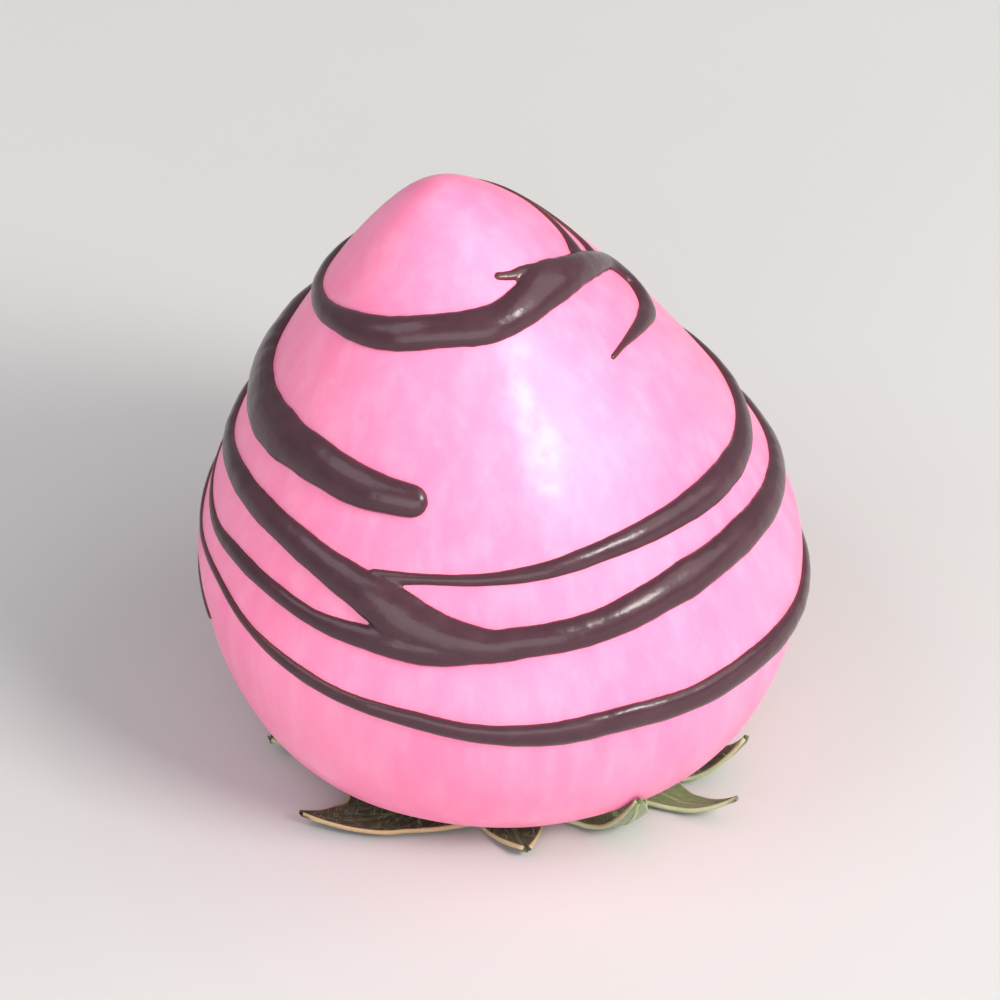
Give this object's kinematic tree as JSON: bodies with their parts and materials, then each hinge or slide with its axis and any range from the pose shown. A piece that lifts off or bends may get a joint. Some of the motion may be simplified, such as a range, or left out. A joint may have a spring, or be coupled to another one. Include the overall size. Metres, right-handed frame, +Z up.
{
  "type": "chocolate coated strawberry",
  "caption": "Whole strawberry standing tip up on its leafy cap, dipped in pink white chocolate and drizzled with thick strands of dark chocolate.",
  "frame": {"origin": "middle of the calyx's flat underside, on the surface that the strawberry stands on", "axes": "+Z up from the calyx to the tip, -Y towards the front that carries the drizzle's loose end, +X to that front's right"},
  "size_m": [0.046, 0.047, 0.0482],
  "materials": {
    "pink_coating": "satin, faint lengthwise flow marks",
    "chocolate_drizzle": "gloss",
    "berry_flesh": "moist satin",
    "calyx_leaf": "matte, finely haired"
  },
  "bodies": {
    "root": {"coated_strawberry": "pink_coating", "calyx": "calyx_leaf"}
  },
  "joints": []
}
